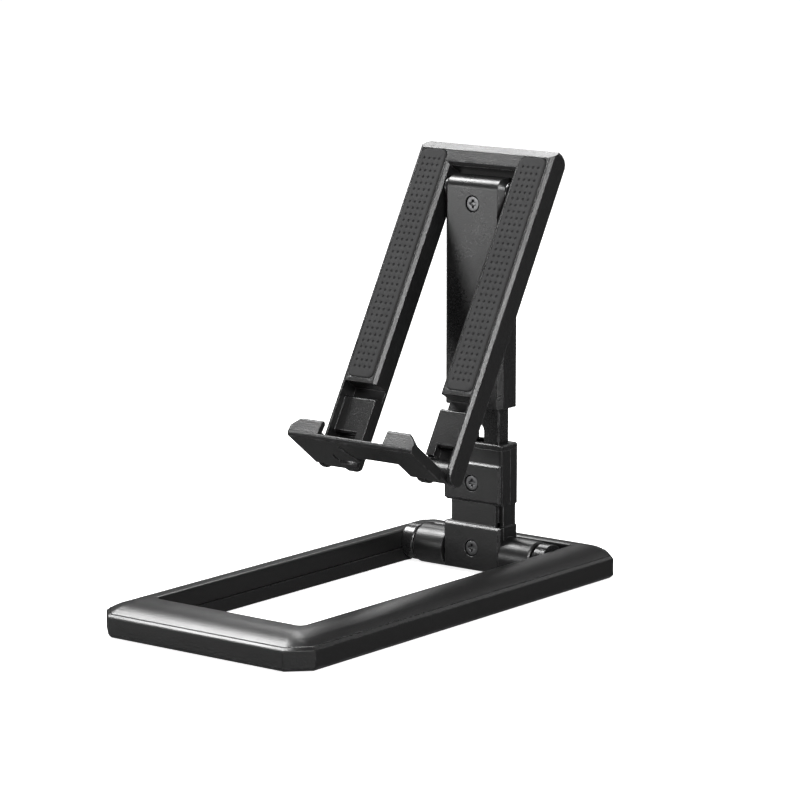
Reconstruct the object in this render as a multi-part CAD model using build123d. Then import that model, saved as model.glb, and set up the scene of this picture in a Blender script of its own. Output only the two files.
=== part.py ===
"""Folding desk stand for a phone: open base frame, two-stage column, tilting back plate, fold-out lip.

Millimetres, +Z up, +Y to the back, origin under the middle of the base.
"""
import os

from build123d import *

# overall sizes
BASE_W = 78.0
BASE_D = 158.0
PLATE_LENGTH = 107.9
LEG_W = 13.0
SLIDER_W = 17.0

# base frame
FOOT_DROP = 0.5
WALL_H = 6.65
CREST_H = 10.4
DOME_RUN = 10.5
CORNER_CUT = 6.5
SIDE_BAR = 12.0
FRONT_BAR = 15.0
REAR_BAR = 12.0
INNER_SPLIT_H = 4.7
INNER_STEP = 0.6
SHELL_T = 2.0
FLOOR_T = 2.0
BOTTOM_EASE = 1.0
RIM_EASE = 0.9
LAP_H = 1.3
LAP_T = 0.9
LAP_GAP = 0.1
LAP_ROOT = 0.9
OPENING_EASE = 1.6

# feet
STRIP_W = 6.0
STRIP_SEAT = 0.9
STRIP_BREAK = 10.0
STRIP_GAP = 0.1
FRONT_STRIP_L = 56.0
REAR_STRIP_L = 56.0
SIDE_STRIP_L = 84.0

# screws
CASE_SCREW_R = 1.2
CASE_SCREW_IN = 5.6
CASE_SCREW_SHIFT = 1.6
CASE_HOLE_SPARE = 0.2
CASE_HEAD_R = 2.2
CASE_HEAD_T = 1.0
CASE_SCREW_L = 5.6
BOSS_R = 3.0
BOSS_ROOF = 1.2
HEAD_GAP = 0.15
FACE_SCREW_R = 1.25
FACE_HEAD_R = 2.45
FACE_HEAD_T = 1.1
FACE_HEAD_SINK = 0.35
RECESS_W = 0.7
RECESS_L = 2.6
RECESS_D = 0.7
HEAD_EASE = 0.4

# column hinge at the base
HINGE_FROM_BACK = 22.2
BARREL_R = 6.1
BARREL_CLEAR = 0.2
BARREL_EASE = 0.5
HINGE_BLOCK = 9.0
BUSH_FLANGE_T = 4.45
BUSH_FLANGE_STEP = 0.4
BUSH_SHANK_R = 3.0
BUSH_SHANK_L = 5.0
BUSH_END_GAP = 0.3
BUSH_EASE = 0.5
AXLE_R = 2.0
AXLE_SEAT = 1.2
AXLE_EASE = 0.3
LINER_SHORT = 0.4
LINER_R = 3.4
RUN_FIT = 0.05
MOVE_GAP = 0.35

# column, lower part
COLUMN_FORWARD = 4.2
COLUMN_BEHIND = 4.5
COLUMN_SPLIT_BEHIND = 0.2
SLEEVE_WALL = 2.5
SLEEVE_EASE = 1.2
PANEL_PROUD = 1.0
PANEL_INSET = 0.2
PANEL_EASE = 0.6
FOOT_BLOCK_TOP = 15.7
FOOT_BLOCK_BOTTOM = 1.6
FOOT_COVER_EASE = 0.7
FOOT_SCREW_Z = 8.24
FOOT_BOSS_R = 2.6
WAIST_INSET = 1.0
WAIST_TAB_T = 0.9
WAIST_STEP = 0.6
SCREW_ROOF = 0.6
SCREW_SPARE = 0.1
SLEEVE_BOTTOM = 22.5
SLEEVE_TOP = 41.5
COLLAR_T = 1.75
COLLAR_EASE = 0.4
PANEL_BOTTOM = 23.0
PANEL_TOP = 35.15
SLEEVE_SCREW_Z = 28.7
GUIDE_R = 2.7

# column, upper part
SLIDER_T = 5.4
SLIDER_FORWARD = 2.6
SLIDER_FIT = 0.06
SLIDER_EASE = 0.4
SLIDER_BOTTOM = 16.8
SLIDER_TOP = 72.0
SLOT_TOP = 47.5
SLOT_GAP = 0.1
FORK_TOP = 22.0
FRICTION_T = 0.8
FRICTION_W = 3.2
FRICTION_X = 5.6
FRICTION_LOW = 24.5
FRICTION_HIGH = 37.5
NECK_BOTTOM = 52.7
NECK_RISE = 4.3
NECK_TOP_EASE = 3.5
NECK_EASE = 1.6
COLUMN_EASE = 1.2
NECK_WALL = 2.2
NECK_COVER_T = 1.6
NECK_COVER_FIT = 0.1
NECK_BAY_DROP = 6.9
NECK_BAY_LOW = 4.0
NECK_SKIRT = 2.0
NECK_SCREW_DROP = 3.8
HEIGHT_TRAVEL = 10.0

# back plate, measured from its tilt axle along the plate and square to it
TILT_FORWARD = 0.35
TILT_Z = 119.0
LEAN = 30.0
PLATE_T = 8.5
PLATE_ABOVE = 14.1
YOKE_H = 8.2
NECK_ROOM = 1.2
PLATE_EDGE = 1.0
PLATE_TOP_EDGE = 3.2
LEG_END_R = 3.9
BACK_COVER_T = 1.8
COVER_INSET = 1.6
COVER_EASE = 0.35
COVER_TOP_MARGIN = 0.6
COVER_FOOT_MARGIN = 1.0
TILT_AXLE_R = 2.0
TILT_AXLE_SHORT = 6.2
WASHER_R = 3.4
WASHER_T = 0.75
POCKET_WALL = 1.2
POCKET_FLOOR = 1.3
POCKET_TOP = -9.0
SHELF_T = 3.2
RIB_R = 2.4
PLATE_BACK_ROUND = 4.0
PLATE_SCREW_HEIGHTS = (6.6, -62.0)
PLATE_HEAD_R = 1.9
PLATE_HEAD_T = 0.8
PLATE_HEAD_SINK = 0.1
PLATE_SCREW_R = 0.9
PLATE_SCREW_L = 5.2
PLATE_CROSS_W = 0.6
PLATE_CROSS_L = 2.2
PLATE_CROSS_D = 0.6

# pads
PAD_SIDE = 1.8
PAD_T = 1.3
PAD_PROUD = 0.4
PAD_TOP = 10.3
PAD_BOTTOM = -65.6
PAD_END_R = 2.0
PAD_GAP = 0.1
PAD_EASE = 0.3
DOT_MARGIN = 3.0
DOT_R = 0.42
DOT_SINK = 0.3
DOT_COLS = 4
DOT_STEP_X = 1.9
DOT_STEP_Z = 2.1

# leg seat that the folded lip drops into
SEAT_TOP = -67.1
SEAT_DEPTH = 2.85
SEAT_WALL = 1.5
HOOK_CAVITY = 3.7
HOOK_CAVITY_DEPTH = 6.3
SEAT_END = -82.6
SEAT_EDGE = 0.6
LEG_BACK_WALL = 2.6
EAR_INNER_W = 3.0
EAR_GAP = 0.3
PIN_SHORT = 0.5
PIN_INNER = 0.7

# lip, measured from its own pin: reach along it, height square to it
LIP_PIN_S = -90.0
LIP_RISE = 7.5
LIP_REACH = 22.4
LIP_UNDER = -5.0
RAIL_TOP = -1.75
TRAY_TOP = -3.5
TRAY_REAR = 12.2
RAIL_START = 4.6
HOOK_TOP = 1.17
HOOK_T = 2.0
HOOK_EASE = 0.6
HOOK_W = 8.0
LIP_PIN_R = 1.1
RAIL_GAP = 0.4
ROOT_RISE = 1.4
KNUCKLE_R = 3.3
FRONT_EASE = 0.8
FINGER_L = 5.4
FINGER_START = 3.4
FINGER_W = 3.0
FINGER_ROOT = 1.5
FINGER_ROOT_IN = 3.0
TONGUE_MARGIN = 1.0
TONGUE_END_X = -3.2
TONGUE_REAR = 9.2
SLIT_W = 1.0
SLIT_L = 10.6
SLIT_X = -4.2
SLIT_REACH = 13.4
SLIT_TURN = -20.0

# places and sizes that follow
JOIN = 0.1
FAR = 200.0
HALF_COLUMN = SLIDER_W / 2 + SLEEVE_WALL
HALF_GAP = HALF_COLUMN + NECK_ROOM
HALF_PLATE = HALF_GAP + LEG_W
HALF_FOOT = HALF_COLUMN - PANEL_INSET
HALF_WAIST = HALF_COLUMN - WAIST_INSET
PAD_W = LEG_W - 2 * PAD_SIDE
TILT_AXLE_HALF = HALF_PLATE - TILT_AXLE_SHORT
FRONT_Y = -BASE_D / 2
BACK_Y = BASE_D / 2
OPEN_FRONT = FRONT_Y + FRONT_BAR
OPEN_BACK = BACK_Y - REAR_BAR
OPEN_HALF = BASE_W / 2 - SIDE_BAR
HINGE_Y = BACK_Y - HINGE_FROM_BACK
HINGE_Z = BARREL_R + BARREL_CLEAR
BARREL_HALF = OPEN_HALF - BUSH_FLANGE_T - MOVE_GAP
BUSH_FLANGE_R = BARREL_R - BUSH_FLANGE_STEP
AXLE_INNER = HALF_FOOT + BUSH_FLANGE_STEP
COLUMN_FRONT = HINGE_Y - COLUMN_FORWARD
COLUMN_BACK = HINGE_Y + COLUMN_BEHIND
COLUMN_SPLIT = HINGE_Y + COLUMN_SPLIT_BEHIND
SLIDER_FRONT = HINGE_Y - SLIDER_FORWARD
SLIDER_BACK = SLIDER_FRONT + SLIDER_T
NECK_FRONT = COLUMN_FRONT - PANEL_PROUD
TILT_Y = HINGE_Y - TILT_FORWARD
PLATE_MID = PLATE_T / 2
PLATE_BELOW = PLATE_ABOVE - PLATE_LENGTH


def block(x0, x1, y0, y1, z0, z1):
    """Box between two corners."""
    return Pos((x0 + x1) / 2, (y0 + y1) / 2, (z0 + z1) / 2) * Box(x1 - x0, y1 - y0, z1 - z0)


def rod_x(x0, x1, y, z, r):
    """Round bar lying along X."""
    return Pos((x0 + x1) / 2, y, z) * Rot(0, 90, 0) * Cylinder(r, x1 - x0)


def rod_y(x, y0, y1, z, r):
    """Round bar lying along Y."""
    return Pos(x, (y0 + y1) / 2, z) * Rot(90, 0, 0) * Cylinder(r, y1 - y0)


def rod_z(x, y, z0, z1, r):
    """Round bar standing along Z."""
    return Pos(x, y, (z0 + z1) / 2) * Cylinder(r, z1 - z0)


def both_sides(shape):
    """The shape and its mirror image across the middle."""
    return Compound([shape, mirror(shape, about=Plane.YZ)])


def lying(edge, axis, tol=0.01):
    """True when a straight edge runs along the named axis."""
    if edge.geom_type != GeomType.LINE:
        return False
    d = edge @ 1 - edge @ 0
    others = {"x": (d.Y, d.Z), "y": (d.X, d.Z), "z": (d.X, d.Y)}[axis]
    return abs(others[0]) < tol and abs(others[1]) < tol


def at_place(edge, x=None, y=None, z=None, tol=0.02):
    """True when the middle of an edge has the given coordinates."""
    m = edge @ 0.5
    checks = [(x, m.X), (y, m.Y), (z, m.Z)]
    return all(want is None or abs(want - got) < tol for want, got in checks)


def at_front(edge, y):
    """True when a whole edge lies in the plane at y."""
    return abs((edge @ 0.5).Y - y) < 0.01 and abs((edge @ 0).Y - y) < 0.01


def slab(z0, z1):
    """Everything between two heights."""
    return block(-FAR, FAR, -FAR, FAR, z0, z1)


def save(shape, name):
    """Write one node."""
    shape.label = name
    export_step(shape, f"parts/{name}.step")


# ---------------------------------------------------------------- base
def dome_outline(half, inset):
    """Cross-section of the base: upright wall, then a low arc up to the crest."""
    edge = half - inset
    crest = CREST_H - inset
    wall = WALL_H - inset
    rise = crest - wall
    run = DOME_RUN
    radius = (run * run + rise * rise) / (2 * rise)
    sag = radius - (radius ** 2 - (run / 2) ** 2) ** 0.5
    mid = (edge - run / 2, crest - sag)
    with BuildSketch() as sk:
        with BuildLine():
            Polyline((0, 0), (edge, 0), (edge, wall))
            ThreePointArc((edge, wall), mid, (edge - run, crest))
            Polyline((edge - run, crest), (0, crest), (0, 0))
        make_face()
    return sk.sketch + mirror(sk.sketch, about=Plane.YZ)


def dome_body(inset):
    """Mitred dome with its four cut corners."""
    across = Rot(90, 0, 0) * extrude(dome_outline(BASE_W / 2, inset), BASE_D, both=True)
    along = Rot(0, 0, 90) * Rot(90, 0, 0) * extrude(dome_outline(BASE_D / 2, inset), BASE_D, both=True)
    diagonal = (BASE_W / 2 + BASE_D / 2 - CORNER_CUT) / 2 ** 0.5
    corner = Rot(90, 0, 0) * extrude(dome_outline(diagonal, inset), BASE_D, both=True)
    body = across & along
    body = body & (Rot(0, 0, 45) * corner)
    return body & (Rot(0, 0, -45) * corner)


def outline_prism(inset, z0, z1):
    """Upright block with the base's cut-corner outline, drawn in by inset."""
    x = BASE_W / 2 - inset
    y = BASE_D / 2 - inset
    cut = CORNER_CUT - inset * (2 - 2 ** 0.5)
    outline = [(x, -y + cut), (x, y - cut), (x - cut, y), (-x + cut, y)]
    outline = outline + [(-x, y - cut), (-x, -y + cut), (-x + cut, -y), (x - cut, -y)]
    return Pos(0, 0, z0) * extrude(make_face(Polyline(*outline, close=True)), z1 - z0)


def opening(grow, z0, z1):
    """The hollow in the middle of the frame."""
    well = block(-OPEN_HALF - grow, OPEN_HALF + grow, OPEN_FRONT - grow, OPEN_BACK + grow, z0, z1)
    uprights = [e for e in well.edges() if lying(e, "z")]
    return fillet(uprights, OPENING_EASE + grow)


screw_x = BASE_W / 2 - CASE_SCREW_IN
corner_x = screw_x - CASE_SCREW_SHIFT
screw_spots = [
    (corner_x, FRONT_Y + FRONT_BAR / 2 + 1.0),
    (screw_x, 0.0),
    (corner_x, BACK_Y - REAR_BAR / 2 - 0.6),
]
screw_spots = screw_spots + [(-x, y) for x, y in screw_spots]

envelope = dome_body(0.0)
inside = dome_body(SHELL_T)
hinge_front = HINGE_Y - HINGE_BLOCK / 2
hinge_rear = HINGE_Y + HINGE_BLOCK / 2
hinge_keep = block(OPEN_HALF - JOIN, BASE_W / 2, hinge_front, hinge_rear, 0, CREST_H)

bottom = envelope & slab(FOOT_DROP, WALL_H)
bottom = bottom - opening(-INNER_STEP, 0, CREST_H)
bottom = bottom - opening(SHELL_T + LAP_GAP, INNER_SPLIT_H, CREST_H)
floor_z = FOOT_DROP + FLOOR_T
cavity = outline_prism(SHELL_T, floor_z, CREST_H)
cavity = cavity - opening(SHELL_T - INNER_STEP, 0, CREST_H)
bottom = bottom - (cavity - both_sides(hinge_keep))
rim = [e for e in bottom.edges() if abs((e @ 0.5).Z - FOOT_DROP) < 0.01]
bar_x = OPEN_HALF + SIDE_BAR / 2
bar_y = OPEN_BACK + REAR_BAR / 2
rim = [e for e in rim if abs((e @ 0.5).X) > bar_x or abs((e @ 0.5).Y) > bar_y]
bottom = chamfer(rim, BOTTOM_EASE)

top = envelope & slab(WALL_H, CREST_H)
inner_skirt = opening(SHELL_T, INNER_SPLIT_H, WALL_H)
top = top + inner_skirt
top = top - opening(0, 0, CREST_H)
well_rim = [e for e in top.edges() if abs((e @ 0.5).Z - CREST_H) < 0.01]
well_rim = [e for e in well_rim if abs((e @ 0.5).X) < OPEN_HALF + JOIN]
well_rim = [e for e in well_rim if OPEN_FRONT - JOIN < (e @ 0.5).Y < OPEN_BACK + JOIN]
top = fillet(well_rim, RIM_EASE)
top_cavity = inside & slab(WALL_H - LAP_H, CREST_H)
top = top - (top_cavity - opening(SHELL_T, 0, CREST_H) - both_sides(hinge_keep))
lap_face = SHELL_T + LAP_GAP
lap_high = WALL_H + LAP_ROOT
lap = outline_prism(lap_face, WALL_H - LAP_H, lap_high) - outline_prism(lap_face + LAP_T, 0, CREST_H)
lap_root = outline_prism(SHELL_T / 2, WALL_H, lap_high) - outline_prism(lap_face + LAP_T / 2, 0, CREST_H)
lap = lap + lap_root
lap = lap - both_sides(block(0, BASE_W, hinge_front - LAP_GAP, hinge_rear + LAP_GAP, 0, WALL_H))
top = top + lap

head_low = FOOT_DROP + HEAD_GAP
head_high = head_low + CASE_HEAD_T
for x, y in screw_spots:
    post = rod_z(x, y, floor_z, CREST_H - BOSS_ROOF, BOSS_R) & envelope
    top = top + post
    top = top - rod_z(x, y, floor_z - 1, head_high + CASE_SCREW_L, CASE_SCREW_R)
    bottom = bottom - rod_z(x, y, 0, head_high, CASE_HEAD_R + HEAD_GAP)
    bottom = bottom - rod_z(x, y, 0, CREST_H, CASE_SCREW_R)
    bottom = bottom - rod_z(x, y, floor_z, CREST_H, BOSS_R + LAP_GAP)

bush_end = OPEN_HALF + BUSH_SHANK_L
wall_face = OPEN_HALF - INNER_STEP - JOIN
seat = rod_x(wall_face, bush_end, HINGE_Y, HINGE_Z, BUSH_SHANK_R)
axle_end = bush_end + BUSH_END_GAP + AXLE_SEAT
seat = seat + rod_x(bush_end - JOIN, axle_end + BUSH_END_GAP, HINGE_Y, HINGE_Z, AXLE_R)
flange_relief = rod_x(wall_face, OPEN_HALF, HINGE_Y, HINGE_Z, BUSH_FLANGE_R + LAP_GAP)
bottom = bottom - both_sides(seat + flange_relief)
top = top - both_sides(seat)

strip_seat_z = FOOT_DROP + STRIP_SEAT


def strip(length, width, x, y, z0, z1, along_y):
    """Round-ended rubber strip."""
    core = SlotOverall(length, width)
    body = extrude(core, z1 - z0)
    if along_y:
        body = Rot(0, 0, 90) * body
    return Pos(x, y, z0) * body


strip_spots = {
    "foot_strip_front": [(FRONT_STRIP_L, 0.0, FRONT_Y + FRONT_BAR / 2, False)],
    "foot_strip_rear": [(REAR_STRIP_L, 0.0, BACK_Y - REAR_BAR / 2, False)],
    "foot_strips_side": [
        (SIDE_STRIP_L, -screw_x, 0.0, True),
        (SIDE_STRIP_L, screw_x, 0.0, True),
    ],
}
strips = {}
for node, spots in strip_spots.items():
    made = []
    for length, x, y, along_y in spots:
        if along_y:
            half_l = (length - STRIP_BREAK) / 2
            pieces = [(half_l, y - (half_l + STRIP_BREAK) / 2), (half_l, y + (half_l + STRIP_BREAK) / 2)]
        else:
            pieces = [(length, y)]
        for piece_l, piece_y in pieces:
            made.append(strip(piece_l, STRIP_W, x, piece_y, 0.0, strip_seat_z, along_y))
            wide = 2 * STRIP_GAP
            pocket = strip(piece_l + wide, STRIP_W + wide, x, piece_y, 0.0, strip_seat_z, along_y)
            bottom = bottom - pocket
    strips[node] = Compound(made)

case_screw = rod_z(0, 0, head_low, head_high, CASE_HEAD_R)
case_shank_end = head_high + CASE_SCREW_L - CASE_HOLE_SPARE
case_screw = case_screw + rod_z(0, 0, head_high - JOIN, case_shank_end, CASE_SCREW_R)
cross = block(-RECESS_L / 2, RECESS_L / 2, -RECESS_W / 2, RECESS_W / 2, 0, head_low + RECESS_D)
cross = cross + block(-RECESS_W / 2, RECESS_W / 2, -RECESS_L / 2, RECESS_L / 2, 0, head_low + RECESS_D)
case_screw = case_screw - cross
case_screws = Compound([Pos(x, y, 0) * case_screw for x, y in screw_spots])

flange_in = BARREL_HALF + MOVE_GAP
bush = rod_x(flange_in, OPEN_HALF, HINGE_Y, HINGE_Z, BUSH_FLANGE_R)
bush = bush + rod_x(OPEN_HALF - JOIN, bush_end, HINGE_Y, HINGE_Z, BUSH_SHANK_R)
bush = bush - rod_x(flange_in - 1, bush_end + 1, HINGE_Y, HINGE_Z, AXLE_R)
bush_rim = [e for e in bush.edges() if e.geom_type == GeomType.CIRCLE and abs((e @ 0).X - flange_in) < 0.01]
bush_rim = [e for e in bush_rim if e.radius > BUSH_FLANGE_R - JOIN]
bush = chamfer(bush_rim, BUSH_EASE)
axle = rod_x(AXLE_INNER, axle_end, HINGE_Y, HINGE_Z, AXLE_R)
axle = chamfer([e for e in axle.edges() if e.geom_type == GeomType.CIRCLE], AXLE_EASE)

# ---------------------------------------------------------------- lower column
slider_half = SLIDER_W / 2
channel_half = slider_half + SLIDER_FIT
channel_front = SLIDER_FRONT - SLIDER_FIT
channel_back = SLIDER_BACK + SLIDER_FIT
liner_end = BARREL_HALF - LINER_SHORT

barrel = rod_x(-BARREL_HALF, BARREL_HALF, HINGE_Y, HINGE_Z, BARREL_R)
barrel = chamfer([e for e in barrel.edges() if e.geom_type == GeomType.CIRCLE], BARREL_EASE)
foot = block(-HALF_FOOT, HALF_FOOT, NECK_FRONT, COLUMN_BACK, FOOT_BLOCK_BOTTOM, FOOT_BLOCK_TOP)
foot = fillet([e for e in foot.edges() if lying(e, "z") and at_place(e, y=COLUMN_BACK)], COLUMN_EASE)
tube = block(-HALF_COLUMN, HALF_COLUMN, COLUMN_SPLIT, COLUMN_BACK, SLEEVE_BOTTOM, SLEEVE_TOP - COLLAR_T)
tube = fillet([e for e in tube.edges() if lying(e, "z") and at_place(e, y=COLUMN_BACK)], COLUMN_EASE)
waist_front = SLIDER_FRONT + WAIST_STEP
waist = block(-HALF_WAIST, HALF_WAIST, waist_front, COLUMN_BACK - PANEL_INSET, HINGE_Z, SLEEVE_BOTTOM)
rear = barrel + foot + tube + waist
channel_low = SLIDER_BOTTOM - HEIGHT_TRAVEL - MOVE_GAP
channel = block(-channel_half, channel_half, 0, channel_back, channel_low, SLEEVE_TOP)
rear = rear - channel
cover_y = SLIDER_FRONT - MOVE_GAP
rear = rear - block(-HALF_FOOT - JOIN, HALF_FOOT + JOIN, 0, cover_y, 0, SLEEVE_BOTTOM)
boss = rod_y(0, cover_y, channel_back + JOIN, FOOT_SCREW_Z, FOOT_BOSS_R)
rear = rear + boss
screw_hole_end = COLUMN_BACK - SCREW_ROOF
rear = rear - rod_y(0, 0, screw_hole_end, FOOT_SCREW_Z, FACE_SCREW_R)
rear = rear - rod_y(0, 0, screw_hole_end, SLEEVE_SCREW_Z, FACE_SCREW_R)
rear = rear - both_sides(rod_x(AXLE_INNER - MOVE_GAP, BARREL_HALF + 1, HINGE_Y, HINGE_Z, LINER_R))
strip_y0 = SLIDER_BACK + RUN_FIT
strip_y1 = strip_y0 + FRICTION_T
strip_x0 = FRICTION_X - FRICTION_W / 2
strip_x1 = FRICTION_X + FRICTION_W / 2
friction = block(strip_x0, strip_x1, strip_y0, strip_y1, FRICTION_LOW, FRICTION_HIGH)
rear = rear - both_sides(block(strip_x0, strip_x1, SLIDER_BACK, strip_y1, FRICTION_LOW, FRICTION_HIGH))

liner = rod_x(AXLE_INNER, liner_end, HINGE_Y, HINGE_Z, LINER_R)
liner = liner - rod_x(0, BARREL_HALF, HINGE_Y, HINGE_Z, AXLE_R + RUN_FIT)


def screw_seat(y, z, depth):
    """Recess and hole for a face screw whose head sits just under a front face at y."""
    head = rod_y(0, y - 5, y + FACE_HEAD_SINK + FACE_HEAD_T, z, FACE_HEAD_R + HEAD_GAP)
    return head + rod_y(0, y - 5, y + depth, z, FACE_SCREW_R)


def face_screw(y, z, length):
    """Cross-head screw driven in from the front."""
    y0 = y + FACE_HEAD_SINK
    body = rod_y(0, y0, y0 + FACE_HEAD_T, z, FACE_HEAD_R)
    rim = [e for e in body.edges() if e.geom_type == GeomType.CIRCLE and abs((e @ 0).Y - y0) < 0.01]
    body = fillet(rim, HEAD_EASE)
    body = body + rod_y(0, y0 + FACE_HEAD_T - JOIN, y0 + FACE_HEAD_T + length, z, FACE_SCREW_R)
    long = RECESS_L / 2
    thin = RECESS_W / 2
    slots = block(-long, long, y0, y0 + RECESS_D, z - thin, z + thin)
    slots = slots + block(-thin, thin, y0, y0 + RECESS_D, z - long, z + long)
    return body - slots


foot_cover = block(-HALF_FOOT, HALF_FOOT, NECK_FRONT, cover_y, FOOT_BLOCK_BOTTOM, FOOT_BLOCK_TOP)
cover_rim = [e for e in foot_cover.edges() if lying(e, "x") and at_place(e, y=NECK_FRONT, z=FOOT_BLOCK_TOP)]
cover_sides = [e for e in foot_cover.edges() if lying(e, "z") and at_place(e, y=NECK_FRONT)]
foot_cover = chamfer(cover_rim + cover_sides, FOOT_COVER_EASE)
waist_tab = block(-slider_half, slider_half, cover_y - WAIST_TAB_T, cover_y, HINGE_Z, SLEEVE_BOTTOM)
foot_cover = foot_cover + waist_tab
foot_cover = foot_cover - screw_seat(NECK_FRONT, FOOT_SCREW_Z, BARREL_R)
shank_l = screw_hole_end - SCREW_SPARE - NECK_FRONT - FACE_HEAD_SINK - FACE_HEAD_T
foot_screw = face_screw(NECK_FRONT, FOOT_SCREW_Z, shank_l)

sleeve = block(-HALF_COLUMN, HALF_COLUMN, COLUMN_FRONT, COLUMN_SPLIT, SLEEVE_BOTTOM, SLEEVE_TOP - COLLAR_T)
front_uprights = [e for e in sleeve.edges() if lying(e, "z") and at_place(e, y=COLUMN_FRONT)]
sleeve = fillet(front_uprights, SLEEVE_EASE)
panel_front = COLUMN_FRONT - PANEL_PROUD
panel = block(-HALF_FOOT, HALF_FOOT, panel_front, COLUMN_FRONT + PANEL_PROUD, PANEL_BOTTOM, PANEL_TOP)
panel_rim = [e for e in panel.edges() if at_place(e, y=panel_front)]
panel = chamfer(panel_rim, PANEL_EASE)
sleeve = sleeve + panel
sleeve = sleeve - block(-channel_half, channel_half, channel_front, COLUMN_SPLIT + 1, 0, SLEEVE_TOP)
sleeve = sleeve - screw_seat(panel_front, SLEEVE_SCREW_Z, COLUMN_SPLIT - panel_front)
sleeve_screw = face_screw(panel_front, SLEEVE_SCREW_Z, shank_l)
guide = rod_y(0, channel_front, channel_back, SLEEVE_SCREW_Z, GUIDE_R)
guide = guide - rod_y(0, 0, FAR, SLEEVE_SCREW_Z, FACE_SCREW_R)

collar = block(-HALF_COLUMN, HALF_COLUMN, COLUMN_FRONT, COLUMN_BACK, SLEEVE_TOP - COLLAR_T, SLEEVE_TOP)
collar = fillet([e for e in collar.edges() if lying(e, "z")], SLEEVE_EASE)
collar = chamfer([e for e in collar.edges() if abs((e @ 0.5).Z - SLEEVE_TOP) < 0.01], COLLAR_EASE)
collar = collar - block(-channel_half, channel_half, channel_front, channel_back, 0, FAR)

# ---------------------------------------------------------------- upper column
slider = block(-slider_half, slider_half, SLIDER_FRONT, SLIDER_BACK, SLIDER_BOTTOM, SLIDER_TOP)
slider = chamfer([e for e in slider.edges() if lying(e, "z")], SLIDER_EASE)
slot_half = GUIDE_R + SLOT_GAP
slot_low = SLEEVE_SCREW_Z
slot_high = SLOT_TOP - slot_half
slot = block(-slot_half, slot_half, 0, FAR, slot_low, slot_high)
slot = slot + rod_y(0, 0, FAR, slot_low, slot_half) + rod_y(0, 0, FAR, slot_high, slot_half)
slider = slider - slot
fork_half = FOOT_BOSS_R + MOVE_GAP
fork_round = FORK_TOP - fork_half
fork = block(-fork_half, fork_half, 0, FAR, 0, fork_round) + rod_y(0, 0, FAR, fork_round, fork_half)
slider = slider - fork

neck_top = TILT_Z + NECK_RISE
neck = block(-HALF_COLUMN, HALF_COLUMN, NECK_FRONT, COLUMN_BACK, NECK_BOTTOM, neck_top)
top_edges = [e for e in neck.edges() if lying(e, "x") and at_place(e, z=neck_top)]
neck = fillet(top_edges, NECK_TOP_EASE)
upright = [e for e in neck.edges() if lying(e, "z")]
neck = chamfer(upright, NECK_EASE)
neck_cover_y = COLUMN_BACK - NECK_COVER_T
bay_half = channel_half
bay_top = TILT_Z - NECK_BAY_DROP
cover_half = HALF_COLUMN - NECK_EASE - COVER_EASE
cover_low = NECK_BOTTOM + NECK_SKIRT
cover_high = bay_top + NECK_SKIRT
bay_low = SLIDER_TOP + NECK_BAY_LOW
bay = block(-bay_half, bay_half, NECK_FRONT + NECK_WALL, neck_cover_y, bay_low, bay_top)
bar_seat = block(-slider_half, slider_half, SLIDER_FRONT, SLIDER_BACK, 0, SLIDER_TOP)
cover_seat = block(-cover_half, cover_half, neck_cover_y, FAR, cover_low, cover_high)
neck = neck - bay - bar_seat - cover_seat
neck = neck - block(-bay_half, bay_half, SLIDER_BACK, neck_cover_y + JOIN, cover_low, SLIDER_TOP)
neck_screw_z = TILT_Z - NECK_SCREW_DROP
neck_screw_end = COLUMN_BACK - NECK_FRONT - NECK_SKIRT
neck = neck - screw_seat(NECK_FRONT, neck_screw_z, neck_screw_end)
neck = neck - rod_x(-FAR, FAR, TILT_Y, TILT_Z, TILT_AXLE_R)
neck_shank_l = neck_screw_end - SCREW_SPARE - FACE_HEAD_SINK - FACE_HEAD_T
neck_screw = face_screw(NECK_FRONT, neck_screw_z, neck_shank_l)
half_w = cover_half - NECK_COVER_FIT
fit = NECK_COVER_FIT
neck_cover = block(-half_w, half_w, neck_cover_y, COLUMN_BACK, cover_low + fit, cover_high - fit)
neck_cover = chamfer([e for e in neck_cover.edges() if at_place(e, y=COLUMN_BACK)], COVER_EASE)

tilt_axle = rod_x(-TILT_AXLE_HALF, TILT_AXLE_HALF, TILT_Y, TILT_Z, TILT_AXLE_R)
tilt_axle = chamfer([e for e in tilt_axle.edges() if e.geom_type == GeomType.CIRCLE], AXLE_EASE)
washer = rod_x(HALF_COLUMN, HALF_COLUMN + WASHER_T, TILT_Y, TILT_Z, WASHER_R)
washer = washer - rod_x(0, FAR, TILT_Y, TILT_Z, TILT_AXLE_R)

# ---------------------------------------------------------------- back plate, upright at its axle
f0 = -PLATE_MID
b0 = PLATE_MID
plate = block(-HALF_PLATE, HALF_PLATE, f0, b0, PLATE_BELOW, PLATE_ABOVE)
plate = plate - block(-HALF_GAP, HALF_GAP, f0, b0, PLATE_BELOW, PLATE_ABOVE - YOKE_H)
back_top = [e for e in plate.edges() if lying(e, "x") and at_place(e, y=b0, z=PLATE_ABOVE)]
plate = fillet(back_top, PLATE_BACK_ROUND)
top_front = [e for e in plate.edges() if lying(e, "x") and at_place(e, y=f0, z=PLATE_ABOVE)]
plate = chamfer(top_front, PLATE_TOP_EDGE)
bevel_foot = PLATE_ABOVE - PLATE_TOP_EDGE
front_edges = [e for e in plate.edges() if at_front(e, f0) and (e @ 0.5).Z < bevel_foot - JOIN]
front_edges = [e for e in front_edges if (e @ 0.5).Z > PLATE_BELOW + 1]
plate = chamfer(front_edges, PLATE_EDGE)
back_edges = [e for e in plate.edges() if at_front(e, b0)]
back_edges = [e for e in back_edges if (e @ 0.5).Z > PLATE_BELOW + 1]
plate = chamfer(back_edges, PLATE_EDGE)

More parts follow.
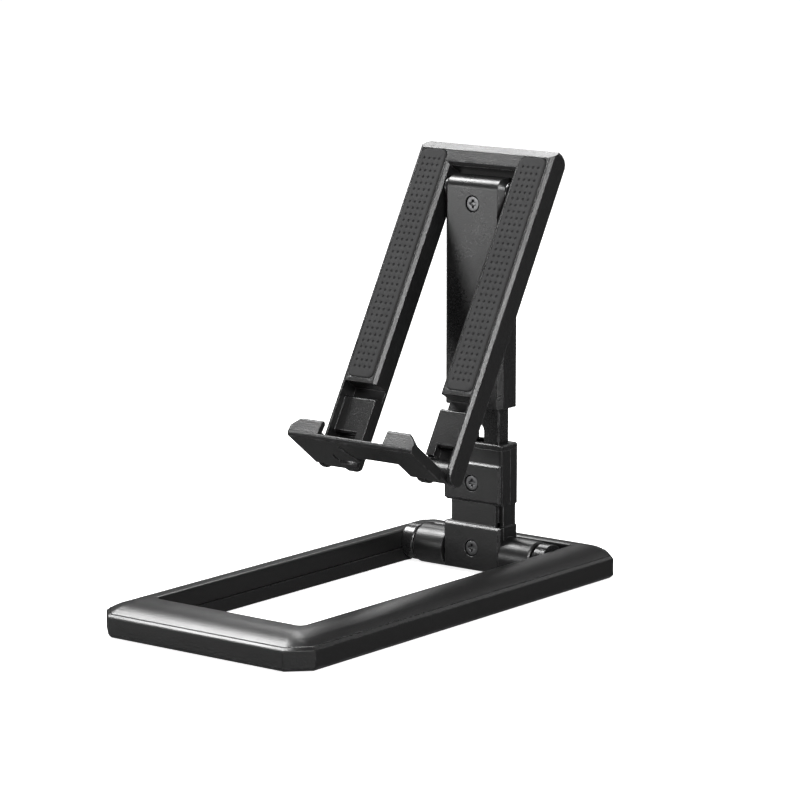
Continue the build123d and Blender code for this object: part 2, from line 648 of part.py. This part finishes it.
seat_outer = HALF_PLATE - SEAT_WALL
leg_mid = (HALF_GAP + HALF_PLATE) / 2
seat_floor = f0 + SEAT_DEPTH
ear_top = LIP_PIN_S + LEG_END_R + EAR_GAP
seat_cut = block(0, seat_outer, -FAR, seat_floor, ear_top, SEAT_TOP)
hook_cut = block(0, seat_outer, -FAR, f0 + HOOK_CAVITY_DEPTH, SEAT_TOP - HOOK_CAVITY, SEAT_TOP)
fork_top = LIP_PIN_S + KNUCKLE_R + MOVE_GAP
fork_in = HALF_GAP + EAR_INNER_W
fork_cut = block(fork_in, seat_outer, -FAR, FAR, -FAR, fork_top)
fork_cut = fork_cut + block(fork_in, seat_outer, -FAR, b0 - LEG_BACK_WALL, -FAR, SEAT_END)
ear_keep = rod_x(0, FAR, 0, LIP_PIN_S, LEG_END_R)
ear_round = block(0, FAR, -FAR, FAR, -FAR, LIP_PIN_S) - ear_keep
ear_inner = block(0, seat_outer, -FAR, 0, LIP_PIN_S, ear_top + JOIN) - ear_keep
for cut in (seat_cut, hook_cut, fork_cut, ear_round, ear_inner):
    plate = plate - both_sides(cut)
across = [e for e in plate.edges() if lying(e, "x")]
seat_edges = [e for e in across if at_place(e, y=seat_floor, z=SEAT_TOP - HOOK_CAVITY)]
seat_edges = seat_edges + [e for e in across if at_place(e, y=seat_floor, z=SEAT_END)]
plate = chamfer(seat_edges, SEAT_EDGE)
pin_end = HALF_PLATE - PIN_SHORT
pin_start = HALF_GAP + PIN_INNER
plate = plate - both_sides(rod_x(pin_start - JOIN, pin_end, 0, LIP_PIN_S, LIP_PIN_R))
plate = plate - both_sides(rod_x(0, TILT_AXLE_HALF + MOVE_GAP, 0, 0, TILT_AXLE_R + RUN_FIT))

cover_back = b0 - BACK_COVER_T
cover_bottom = SEAT_TOP + COVER_FOOT_MARGIN
cover_top = PLATE_ABOVE - PLATE_BACK_ROUND - COVER_TOP_MARGIN
leg_cover_in = HALF_GAP + COVER_INSET
leg_cover_out = HALF_PLATE - COVER_INSET
cover = block(-leg_cover_out, leg_cover_out, cover_back, b0, cover_bottom, cover_top)
cover_gap_top = PLATE_ABOVE - YOKE_H + COVER_INSET
cover = cover - block(-leg_cover_in, leg_cover_in, cover_back, b0, cover_bottom, cover_gap_top)
plate = plate - cover
cover_rim = [e for e in cover.edges() if at_front(e, b0)]
cover = chamfer(cover_rim, COVER_EASE)
pocket_in = leg_cover_in + POCKET_WALL
pocket_out = leg_cover_out - POCKET_WALL
pocket_front = f0 + PAD_T + POCKET_FLOOR
pocket = block(pocket_in, pocket_out, pocket_front, cover_back, SEAT_TOP + SHELF_T, POCKET_TOP)
plate = plate - both_sides(pocket)
rib = rod_y(leg_mid, pocket_front - JOIN, cover_back, PLATE_SCREW_HEIGHTS[1], RIB_R)
plate = plate + both_sides(rib)
head_back = b0 - PLATE_HEAD_SINK
head_front = head_back - PLATE_HEAD_T
cross_front = head_back - PLATE_CROSS_D
arm = PLATE_CROSS_L / 2
web = PLATE_CROSS_W / 2
plate_screws = []
for side in (-1, 1):
    for z in PLATE_SCREW_HEIGHTS:
        x = side * leg_mid
        head = rod_y(x, head_front, head_back, z, PLATE_HEAD_R)
        shank = rod_y(x, b0 - PLATE_SCREW_L, head_front + JOIN, z, PLATE_SCREW_R)
        cross_x = block(x - arm, x + arm, cross_front, b0, z - web, z + web)
        cross_z = block(x - web, x + web, cross_front, b0, z - arm, z + arm)
        plate_screws.append(head + shank - cross_x - cross_z)
        cover = cover - rod_y(x, head_front, FAR, z, PLATE_HEAD_R + JOIN)
        cover = cover - rod_y(x, cover_back, b0, z, PLATE_SCREW_R)
        plate = plate - rod_y(x, b0 - PLATE_SCREW_L - SCREW_SPARE, b0, z, PLATE_SCREW_R)


# pads let into the front of the legs
pad_front = f0 - PAD_PROUD


def pad_outline(grow):
    """Block of one pad with rounded corners."""
    half = PAD_W / 2 + grow
    pad_back = pad_front + PAD_T + grow
    body = block(leg_mid - half, leg_mid + half, pad_front, pad_back, PAD_BOTTOM - grow, PAD_TOP + grow)
    corners = [e for e in body.edges() if lying(e, "y")]
    return fillet(corners, PAD_END_R)


plate = plate - both_sides(pad_outline(PAD_GAP))
pad = pad_outline(0.0)
pad_face = [e for e in pad.edges() if at_front(e, pad_front)]
pad = chamfer(pad_face, PAD_EASE)
dot_rows = int((PAD_TOP - PAD_BOTTOM - DOT_MARGIN) / DOT_STEP_Z)
dot_span = (dot_rows - 1) * DOT_STEP_Z
pad_mid_z = (PAD_TOP + PAD_BOTTOM) / 2
dots = []
for row in range(dot_rows):
    for col in range(DOT_COLS):
        x = leg_mid + (col - (DOT_COLS - 1) / 2) * DOT_STEP_X
        z = pad_mid_z - dot_span / 2 + row * DOT_STEP_Z
        dots.append(rod_y(x, pad_front - DOT_SINK, pad_front + DOT_SINK, z, DOT_R))
pad = pad - Compound(dots)

lip_pin = rod_x(pin_start, pin_end, 0, LIP_PIN_S, LIP_PIN_R)

# ---------------------------------------------------------------- lip, flat at its pin
rail_in = HALF_GAP + RAIL_GAP
rail_out = seat_outer - MOVE_GAP
knuckle_in = HALF_GAP + EAR_INNER_W + MOVE_GAP
rail = block(rail_in, rail_out, -LIP_REACH, -RAIL_START, LIP_UNDER, RAIL_TOP)
root = block(knuckle_in, rail_out, -RAIL_START - JOIN, 0, LIP_UNDER + ROOT_RISE, RAIL_TOP)
knuckle = rod_x(knuckle_in, rail_out, 0, 0, KNUCKLE_R)
hook_out = HALF_GAP + HOOK_W
hook_face = [(HALF_GAP, LIP_UNDER), (HALF_GAP, HOOK_TOP), (hook_out, HOOK_TOP)]
hook_face = hook_face + [(rail_out, RAIL_TOP), (rail_out, LIP_UNDER)]
hook = Rot(90, 0, 0) * extrude(make_face(Polyline(*hook_face, close=True)), HOOK_T)
hook = Pos(0, HOOK_T - LIP_REACH, 0) * hook
hook = chamfer([e for e in hook.edges() if lying(e, "x") and at_place(e, z=HOOK_TOP)], HOOK_EASE)
lip = both_sides(rail) + both_sides(hook) + both_sides(root) + both_sides(knuckle)
tray = block(-rail_in - JOIN, rail_in + JOIN, -LIP_REACH, -TRAY_REAR, LIP_UNDER, TRAY_TOP)
lip = lip + tray
finger_y = -FINGER_START - FINGER_W
finger_tip = -rail_in + FINGER_L - FINGER_W / 2
finger = block(-rail_in - JOIN, finger_tip, finger_y, -FINGER_START, LIP_UNDER, TRAY_TOP)
finger = finger + rod_z(finger_tip, finger_y + FINGER_W / 2, LIP_UNDER, TRAY_TOP, FINGER_W / 2)
root_y = -RAIL_START - FINGER_ROOT_IN
root_x = -rail_in - FINGER_ROOT
finger = finger + block(root_x, -rail_in + JOIN, root_y, -FINGER_START, LIP_UNDER, TRAY_TOP)
tongue_x = -rail_in + TONGUE_MARGIN
tongue = block(tongue_x, TONGUE_END_X, -TRAY_REAR - JOIN, -TONGUE_REAR, LIP_UNDER, TRAY_TOP)
slit = Pos(SLIT_X, -SLIT_REACH, 0) * Rot(0, 0, SLIT_TURN) * Box(SLIT_W, SLIT_L, FAR)
lip = lip + finger + tongue
lip = lip - slit
lip = lip - both_sides(rod_x(0, FAR, 0, 0, LIP_PIN_R + RUN_FIT))
front_low = [e for e in lip.edges() if lying(e, "x") and at_place(e, y=-LIP_REACH, z=LIP_UNDER)]
lip = chamfer(front_low, FRONT_EASE)

plate_at = Location((0, TILT_Y, TILT_Z), (-LEAN, 0, 0))
lip_at = plate_at * Location((0, 0, LIP_PIN_S), (-LIP_RISE, 0, 0))

nodes = {
    "base_bottom_shell": bottom,
    "base_top_shell": top,
    "case_screws": case_screws,
    "hinge_bushes": both_sides(bush),
    "hinge_axles": both_sides(axle),
    "column_rear_shell": rear,
    "axle_liners": both_sides(liner),
    "foot_cover": foot_cover,
    "foot_screw": foot_screw,
    "sleeve_front_shell": sleeve,
    "sleeve_collar": collar,
    "sleeve_screw": sleeve_screw,
    "guide_bush": guide,
    "friction_strips": both_sides(friction),
    "slider_bar": slider,
    "neck_shell": neck,
    "neck_rear_cover": neck_cover,
    "neck_screw": neck_screw,
    "tilt_axle": tilt_axle,
    "tilt_washers": both_sides(washer),
    "back_plate": plate_at * plate,
    "plate_rear_cover": plate_at * cover,
    "plate_screws": plate_at * Compound(plate_screws),
    "pad_right": plate_at * pad,
    "pad_left": plate_at * mirror(pad, about=Plane.YZ),
    "lip_pins": plate_at * both_sides(lip_pin),
    "lip_tray": lip_at * lip,
}
nodes.update(strips)

os.makedirs("parts", exist_ok=True)
for name, shape in nodes.items():
    save(shape, name)
    print(name, len(shape.solids()), round(shape.volume, 1), shape.is_valid)
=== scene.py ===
import math

import bmesh
import bpy
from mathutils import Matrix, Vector


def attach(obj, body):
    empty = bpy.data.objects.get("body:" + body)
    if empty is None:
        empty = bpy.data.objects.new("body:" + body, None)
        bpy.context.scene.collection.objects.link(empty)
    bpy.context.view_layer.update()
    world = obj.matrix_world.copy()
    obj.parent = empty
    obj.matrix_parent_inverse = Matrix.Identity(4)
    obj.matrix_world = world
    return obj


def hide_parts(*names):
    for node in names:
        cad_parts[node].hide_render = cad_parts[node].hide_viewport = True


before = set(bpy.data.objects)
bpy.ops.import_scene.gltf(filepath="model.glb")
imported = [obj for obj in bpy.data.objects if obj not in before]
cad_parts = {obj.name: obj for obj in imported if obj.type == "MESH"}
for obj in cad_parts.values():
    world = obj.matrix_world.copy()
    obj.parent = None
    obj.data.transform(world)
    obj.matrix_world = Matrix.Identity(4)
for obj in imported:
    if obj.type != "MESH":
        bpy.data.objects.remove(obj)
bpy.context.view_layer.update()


# ------------------------------------------------------------------ base, lower shell
# The tray under the base frame: a thin ring moulded in black ABS, with a plain upright wall all round,
# four corners cut at 45 degrees and seats for the rubber strips. Screws from below close it.
class Flow:
    """One shader socket, ready for sums."""

    def __init__(self, finish, socket):
        self.finish = finish
        self.socket = socket

    def _sum(self, operation, a, b):
        return self.finish.node("Math", {"operation": operation}, {0: a, 1: b})["Value"]

    def __add__(self, other):
        return self._sum("ADD", self, other)

    def __radd__(self, other):
        return self._sum("ADD", other, self)

    def __sub__(self, other):
        return self._sum("SUBTRACT", self, other)

    def __rsub__(self, other):
        return self._sum("SUBTRACT", other, self)

    def __mul__(self, other):
        return self._sum("MULTIPLY", self, other)

    def __rmul__(self, other):
        return self._sum("MULTIPLY", other, self)

    def between(self, low, high):
        """Stretched so that low becomes 0 and high becomes 1, and held there."""
        settings = {"clamp": True}
        sockets = {"Value": self, "From Min": low, "From Max": high}
        return self.finish.node("MapRange", settings, sockets)["Result"]


class Finish:
    """A material made of a Principled surface and the nodes that vary it."""

    def __init__(self, name, **surface):
        self.material = bpy.data.materials.new(name)
        self.material.use_nodes = True
        self.tree = self.material.node_tree
        self.surface = self.tree.nodes["Principled BSDF"]
        for socket, value in surface.items():
            self.surface.inputs[socket.replace("_", " ")].default_value = value

    def node(self, kind, settings=None, sockets=None):
        """Adds a node: its settings first, then the values or links of its sockets."""
        made = self.tree.nodes.new("ShaderNode" + kind)
        for name, value in (settings or {}).items():
            setattr(made, name, value)
        for key, value in (sockets or {}).items():
            if isinstance(key, int):
                wanted = made.inputs[key]
            else:
                wanted = next(s for s in made.inputs if s.name == key and s.enabled)
            if isinstance(value, Flow):
                self.tree.links.new(value.socket, wanted)
            else:
                wanted.default_value = value
        return {s.name: Flow(self, s) for s in made.outputs if s.enabled}

    def drive(self, socket, flow):
        """Links a flow to the surface."""
        self.tree.links.new(flow.socket, self.surface.inputs[socket])

    def noise(self, place, scale, **settings):
        """Noise from 0 to 1, this many cells to the metre."""
        return self.node("TexNoise", {}, {"Vector": place, "Scale": scale, **settings})["Fac"]

    def bump(self, strength, distance, height):
        """Makes the surface look uneven, without moving it."""
        sockets = {"Strength": strength, "Distance": distance, "Height": height}
        self.drive("Normal", self.node("Bump", {}, sockets)["Normal"])

    def mix(self, factor, a, b):
        """Blend of two colours."""
        return self.node("Mix", {"data_type": "RGBA"}, {"Factor": factor, "A": a, "B": b})["Result"]


def grey(value):
    """Neutral colour."""
    return (value, value, value * 1.02, 1)


def moulded_plastic(name, tone, rough, grain, grain_size, rubbed, specular=0.5):
    """Black plastic: eroded grain, patches a little shinier, edges rubbed smoother and paler."""
    f = Finish(name, Specular_IOR_Level=specular)
    place = f.node("TexCoord")["Object"]
    speck = f.noise(place, 1 / grain_size, Detail=3.0, Roughness=0.65)
    patch = f.noise(place, 55.0, Detail=4.0, Roughness=0.6)
    scuff = f.noise(place, 420.0, Detail=5.0, Roughness=0.7)
    edge = f.node("Attribute", {"attribute_name": "edge"})["Fac"]
    wear = edge * scuff.between(0.42, 0.62)
    ground = f.mix(speck, grey(tone * 0.75), grey(tone * 1.3))
    f.drive("Base Color", f.mix(wear * 0.8, ground, grey(rubbed)))
    f.drive("Roughness", rough + (patch - 0.5) * 0.16 + (speck - 0.5) * 0.14 - edge * 0.06)
    f.bump(grain, grain_size * 0.45, speck)
    return f.material


def turned_over(face):
    """True for a sliver of a flat that came out facing against all the flats beside it."""
    beside = [f for e in face.edges for f in e.link_faces if f is not face]
    return bool(beside) and all(face.normal.dot(f.normal) < -0.5 for f in beside)


FLAT_WITHIN = math.radians(0.6)  # faces that differ by less are one flat
ROUNDED_FROM = math.radians(32)  # edges that turn by more are rounded over
CREASE_FROM = math.radians(31)  # edges that turn by more shade as a crease


def finer(node, edge_radius, steps=3):
    """A closer mesh of a moulded or turned piece: flats joined up, every sharp edge rounded over."""
    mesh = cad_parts[node].data.copy()
    mesh.materials.clear()
    b = bmesh.new()
    b.from_mesh(mesh)
    bmesh.ops.remove_doubles(b, verts=b.verts, dist=2e-6)
    bmesh.ops.dissolve_limit(b, angle_limit=FLAT_WITHIN, verts=b.verts, edges=b.edges)
    rims = [e for e in b.edges if len(e.link_faces) == 2 and e.calc_face_angle(0) > ROUNDED_FROM]
    worn = b.loops.layers.float.new("edge")
    if rims and edge_radius:
        made = bmesh.ops.bevel(
            b, geom=rims, offset=edge_radius, segments=steps, profile=0.5,
            affect="EDGES", clamp_overlap=False, loop_slide=False,
        )
        for face in made["faces"]:
            for loop in face.loops:
                loop[worn] = 1.0
    bmesh.ops.triangulate(b, faces=[f for f in b.faces if len(f.verts) > 4])
    folded = [f for f in b.faces if turned_over(f)]
    bmesh.ops.reverse_faces(b, faces=folded)
    b.to_mesh(mesh)
    b.free()
    mesh.shade_smooth()
    mesh.set_sharp_from_angle(angle=CREASE_FROM)
    piece = bpy.data.objects.new(node + "_finer", mesh)
    bpy.context.collection.objects.link(piece)
    weigh = piece.modifiers.new("flats", "WEIGHTED_NORMAL")
    weigh.keep_sharp = True
    weigh.weight = 90
    graph = bpy.context.evaluated_depsgraph_get()
    settled = bpy.data.meshes.new_from_object(piece.evaluated_get(graph))
    piece.modifiers.clear()
    piece.data = settled
    return piece


def fit(piece, material, body, node):
    """Gives a piece its finish and puts it in its node's place on the body that carries it."""
    piece.data.materials.clear()
    piece.data.materials.append(material)
    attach(piece, body)
    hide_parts(node)
    return piece


BLACK = 0.005  # how pale the black ABS is, all over the stand

wall_plastic = moulded_plastic(
    "wall_plastic", tone=BLACK, rough=0.36, grain=0.35, grain_size=0.0005, rubbed=0.02, specular=0.4
)
fit(finer("base_bottom_shell", 0.0002), wall_plastic, "base", "base_bottom_shell")

# ------------------------------------------------------------------ base, upper shell
# The domed top of the frame, moulded in the same black ABS but from a finer tool, so that it has a soft
# gloss. It laps inside the lower shell's wall and is held by the screws from below.
dome_plastic = moulded_plastic(
    "dome_plastic", tone=BLACK, rough=0.33, grain=0.25, grain_size=0.00045, rubbed=0.02
)
fit(finer("base_top_shell", 0.00018), dome_plastic, "base", "base_top_shell")

# ------------------------------------------------------------------ rubber strips
# Round-ended strips of black rubber glued into shallow seats under the frame. They stand half a
# millimetre proud so that only they touch the table.
foot_finish = Finish("strip_rubber", Specular_IOR_Level=0.25)
foot_place = foot_finish.node("TexCoord")["Object"]
foot_speck = foot_finish.noise(foot_place, 1500.0, Detail=4.0)
foot_finish.drive("Base Color", foot_finish.mix(foot_speck, grey(0.018), grey(0.035)))
foot_finish.drive("Roughness", 0.78 + foot_speck * 0.15)
foot_finish.bump(0.4, 0.0001, foot_speck)
for strip in ("foot_strip_front", "foot_strip_rear", "foot_strips_side"):
    fit(finer(strip, 0.0002), foot_finish.material, "base", strip)


# ------------------------------------------------------------------ case screws, pins
# Small cross-head screws in plated steel close the base from below. The column turns on two ground
# steel pins, one each side, and the lip and the back plate on pins of the same stock.
def turned_steel(name, tone, rough, brush):
    """Steel with fine turning lines and a few dull spots."""
    f = Finish(name, Metallic=1.0)
    place = f.node("TexCoord")["Object"]
    lines = f.noise(place, 2400.0, Detail=2.0, Distortion=0.6)
    dull = f.noise(place, 300.0, Detail=4.0)
    edge = f.node("Attribute", {"attribute_name": "edge"})["Fac"]
    f.drive("Base Color", f.mix(dull.between(0.35, 0.7), grey(tone * 0.8), grey(tone * 1.15)))
    f.drive("Roughness", rough + (lines - 0.5) * 0.2 + dull * 0.08 - edge * 0.05)
    f.bump(brush, 0.00004, lines)
    return f.material


ground_steel = turned_steel("ground_steel", 0.55, 0.26, 0.25)
plated_screw = turned_steel("plated_screw", 0.15, 0.34, 0.3)
fit(finer("case_screws", 0.00008, 2), ground_steel, "base", "case_screws")
fit(finer("hinge_axles", 0.0001, 2), ground_steel, "base", "hinge_axles")

# ------------------------------------------------------------------ hinge bushes
# A flanged bush pressed into each side bar carries a pin and fills the gap beside the barrel. It is
# turned from black acetal, smoother and shinier than the shells.
bush_plastic = moulded_plastic(
    "bush_plastic", tone=0.007, rough=0.24, grain=0.1, grain_size=0.0007, rubbed=0.03
)
fit(finer("hinge_bushes", 0.00025), bush_plastic, "base", "hinge_bushes")

# ------------------------------------------------------------------ column, rear shell and barrel
# One ABS moulding: the barrel that turns on the pins, the foot above it, the open-fronted waist and the
# back half of the sleeve. The liners inside the barrel grip the pins so that the column stays put.
column_plastic = moulded_plastic(
    "column_plastic", tone=BLACK, rough=0.33, grain=0.3, grain_size=0.00045, rubbed=0.035
)
fit(finer("column_rear_shell", 0.00015), column_plastic, "column", "column_rear_shell")
liner_plastic = moulded_plastic(
    "liner_plastic", tone=0.05, rough=0.3, grain=0.1, grain_size=0.0006, rubbed=0.08
)
fit(finer("axle_liners", 0.0001, 2), liner_plastic, "column", "axle_liners")

# ------------------------------------------------------------------ foot cover and sleeve front
# The cover on the foot and the front half of the sleeve are separate ABS mouldings, each held by one
# cross-head screw. The sleeve's raised panel has a bevel all round that catches the light.
fit(finer("foot_cover", 0.00016), column_plastic, "column", "foot_cover")
fit(finer("sleeve_front_shell", 0.00015), column_plastic, "column", "sleeve_front_shell")
fit(finer("sleeve_collar", 0.00015), column_plastic, "column", "sleeve_collar")
fit(finer("foot_screw", 0.00008, 2), plated_screw, "column", "foot_screw")
fit(finer("sleeve_screw", 0.00008, 2), plated_screw, "column", "sleeve_screw")

# ------------------------------------------------------------------ guide bush and friction strips
# The bush round the sleeve screw runs in the slider's slot and sets its stops. Two thin acetal strips
# behind the slider press on it, so that the height stays where it is put.
fit(finer("guide_bush", 0.0001, 2), liner_plastic, "column", "guide_bush")
fit(finer("friction_strips", 0.00008, 2), liner_plastic, "column", "friction_strips")

# ------------------------------------------------------------------ slider bar
# A flat slotted bar of black ABS that rises out of the sleeve and carries the neck. Its faces are
# polished a little by the sleeve.
slider_plastic = moulded_plastic(
    "slider_plastic", tone=BLACK, rough=0.28, grain=0.15, grain_size=0.0005, rubbed=0.035
)
fit(finer("slider_bar", 0.00016), slider_plastic, "head", "slider_bar")

# ------------------------------------------------------------------ neck
# A hollow ABS moulding with bevelled front corners and a rounded top, closed behind by a cover. It is
# screwed to the slider bar and holds the pin that the back plate tilts on.
neck_plastic = moulded_plastic(
    "neck_plastic", tone=BLACK, rough=0.30, grain=0.3, grain_size=0.00045, rubbed=0.035
)
fit(finer("neck_shell", 0.00014), neck_plastic, "head", "neck_shell")
fit(finer("neck_rear_cover", 0.00014), column_plastic, "head", "neck_rear_cover")
fit(finer("neck_screw", 0.00008, 2), plated_screw, "head", "neck_screw")
fit(finer("tilt_axle", 0.0001, 2), ground_steel, "head", "tilt_axle")
fit(finer("tilt_washers", 0.0001, 2), bush_plastic, "head", "tilt_washers")

# ------------------------------------------------------------------ back plate
# A U-shaped ABS frame, open in the middle so that it can fold round the column. Every front edge has a
# narrow bevel. A thin cover screwed on behind closes its hollow legs.
plate_plastic = moulded_plastic(
    "plate_plastic", tone=BLACK, rough=0.32, grain=0.4, grain_size=0.0005, rubbed=0.04
)
fit(finer("back_plate", 0.00018), plate_plastic, "plate", "back_plate")
fit(finer("plate_rear_cover", 0.00015), plate_plastic, "plate", "plate_rear_cover")
fit(finer("plate_screws", 0.00006, 2), plated_screw, "plate", "plate_screws")
fit(finer("lip_pins", 0.0001, 2), ground_steel, "plate", "lip_pins")

# ------------------------------------------------------------------ grip pads
# Two strips of dark silicone let into the legs, with rows of small round dimples so that a phone doesn't
# slip. They are matt and pick up a little dust.
pad_finish = Finish("pad_silicone", Specular_IOR_Level=0.22, Sheen_Weight=0.04, Sheen_Roughness=0.4)
pad_place = pad_finish.node("TexCoord")["Object"]
pad_speck = pad_finish.noise(pad_place, 2600.0, Detail=3.0, Roughness=0.7)
pad_dust = pad_finish.noise(pad_place, 90.0, Detail=5.0)
pad_tone = pad_finish.mix(pad_speck, grey(0.011), grey(0.026))
pad_finish.drive("Base Color", pad_finish.mix(pad_dust.between(0.5, 0.8) * 0.25, pad_tone, grey(0.035)))
pad_finish.drive("Roughness", 0.66 + pad_speck * 0.2)
pad_finish.bump(0.35, 0.0001, pad_speck)
for pad in ("pad_left", "pad_right"):
    fit(finer(pad, 0.00008, 2), pad_finish.material, "plate", pad)

# ------------------------------------------------------------------ lip
# The fold-out lip is one ABS moulding: two arms on pins in the leg ends, a thin tray between them, and a
# hook at each front corner. A slit and a small finger hold a charging cable.
lip_plastic = moulded_plastic(
    "lip_plastic", tone=BLACK, rough=0.34, grain=0.45, grain_size=0.0005, rubbed=0.04
)
fit(finer("lip_tray", 0.00018), lip_plastic, "lip", "lip_tray")


# ------------------------------------------------------------------ studio
# A pale floor that glows a little and doesn't show in the plastic, in a dim white room. Seven soft panels:
# two strong ones high on the left and to the right of the front, one overhead and four weak ones low
# down and behind, each placed for the bevel or curved flank that it lights.
def panel(name, place, aim, size, power):
    """A soft rectangular light that faces a point."""
    light = bpy.data.lights.new(name, "AREA")
    light.shape = "RECTANGLE"
    light.size, light.size_y = size
    light.energy = power
    lamp = bpy.data.objects.new(name, light)
    lamp.location = place
    lamp.rotation_euler = (Vector(aim) - Vector(place)).to_track_quat("-Z", "Y").to_euler()
    bpy.context.collection.objects.link(lamp)
    return lamp


floor_mesh = bpy.data.meshes.new("floor")
reach = 6.0
corners = [(-reach, -reach, 0), (reach, -reach, 0), (reach, reach, 0), (-reach, reach, 0)]
floor_mesh.from_pydata(corners, [], [(0, 1, 2, 3)])
floor = bpy.data.objects.new("floor", floor_mesh)
bpy.context.collection.objects.link(floor)
WHITE = (1, 1, 1, 1)
floor_finish = Finish(
    "floor_white", Base_Color=(0.9, 0.9, 0.9, 1), Roughness=0.9, Specular_IOR_Level=0.1,
    Emission_Color=WHITE, Emission_Strength=0.9,
)
floor_mesh.materials.append(floor_finish.material)
floor.visible_glossy = False

room = bpy.data.worlds.new("room")
room.use_nodes = True
backdrop = room.node_tree.nodes["Background"]
backdrop.inputs["Color"].default_value = WHITE
backdrop.inputs["Strength"].default_value = 0.13
bpy.context.scene.world = room

middle = (0.0, 0.0, 0.05)
panel("left_above", (-0.60, -0.04, 0.80), middle, (0.34, 0.32), 12.0)
panel("back_left", (-0.30, 0.40, 0.42), (0.0, 0.09, 0.125), (0.22, 0.18), 0.9)
panel("overhead", (0.05, -0.30, 0.95), middle, (0.36, 0.34), 4.0)
panel("front_left_low", (-0.50, -0.66, 0.10), (0.0, 0.0, 0.09), (0.34, 0.18), 1.8)
panel("right_front", (0.78, -0.42, 0.52), (0.0, 0.0, 0.07), (0.20, 0.20), 8.0)
panel("right_low", (0.80, -0.60, 0.10), (0.0, 0.0, 0.03), (0.30, 0.12), 1.6)
panel("right_back", (0.20, 0.85, 0.62), middle, (0.40, 0.25), 0.5)

turn = math.radians(37.82)
dip = math.radians(10.452)
sight = Vector((-math.sin(turn) * math.cos(dip), math.cos(turn) * math.cos(dip), -math.sin(dip)))
lens = bpy.data.cameras.new("camera")
lens.lens = 171.92
lens.sensor_width = 36.0
lens.clip_start = 0.05
lens.clip_end = 30.0
camera = bpy.data.objects.new("camera", lens)
camera.location = (0.6883, -0.8708, 0.2670)
camera.rotation_euler = sight.to_track_quat("-Z", "Y").to_euler()
bpy.context.collection.objects.link(camera)
bpy.context.scene.camera = camera
bpy.context.scene.view_settings.view_transform = "Standard"
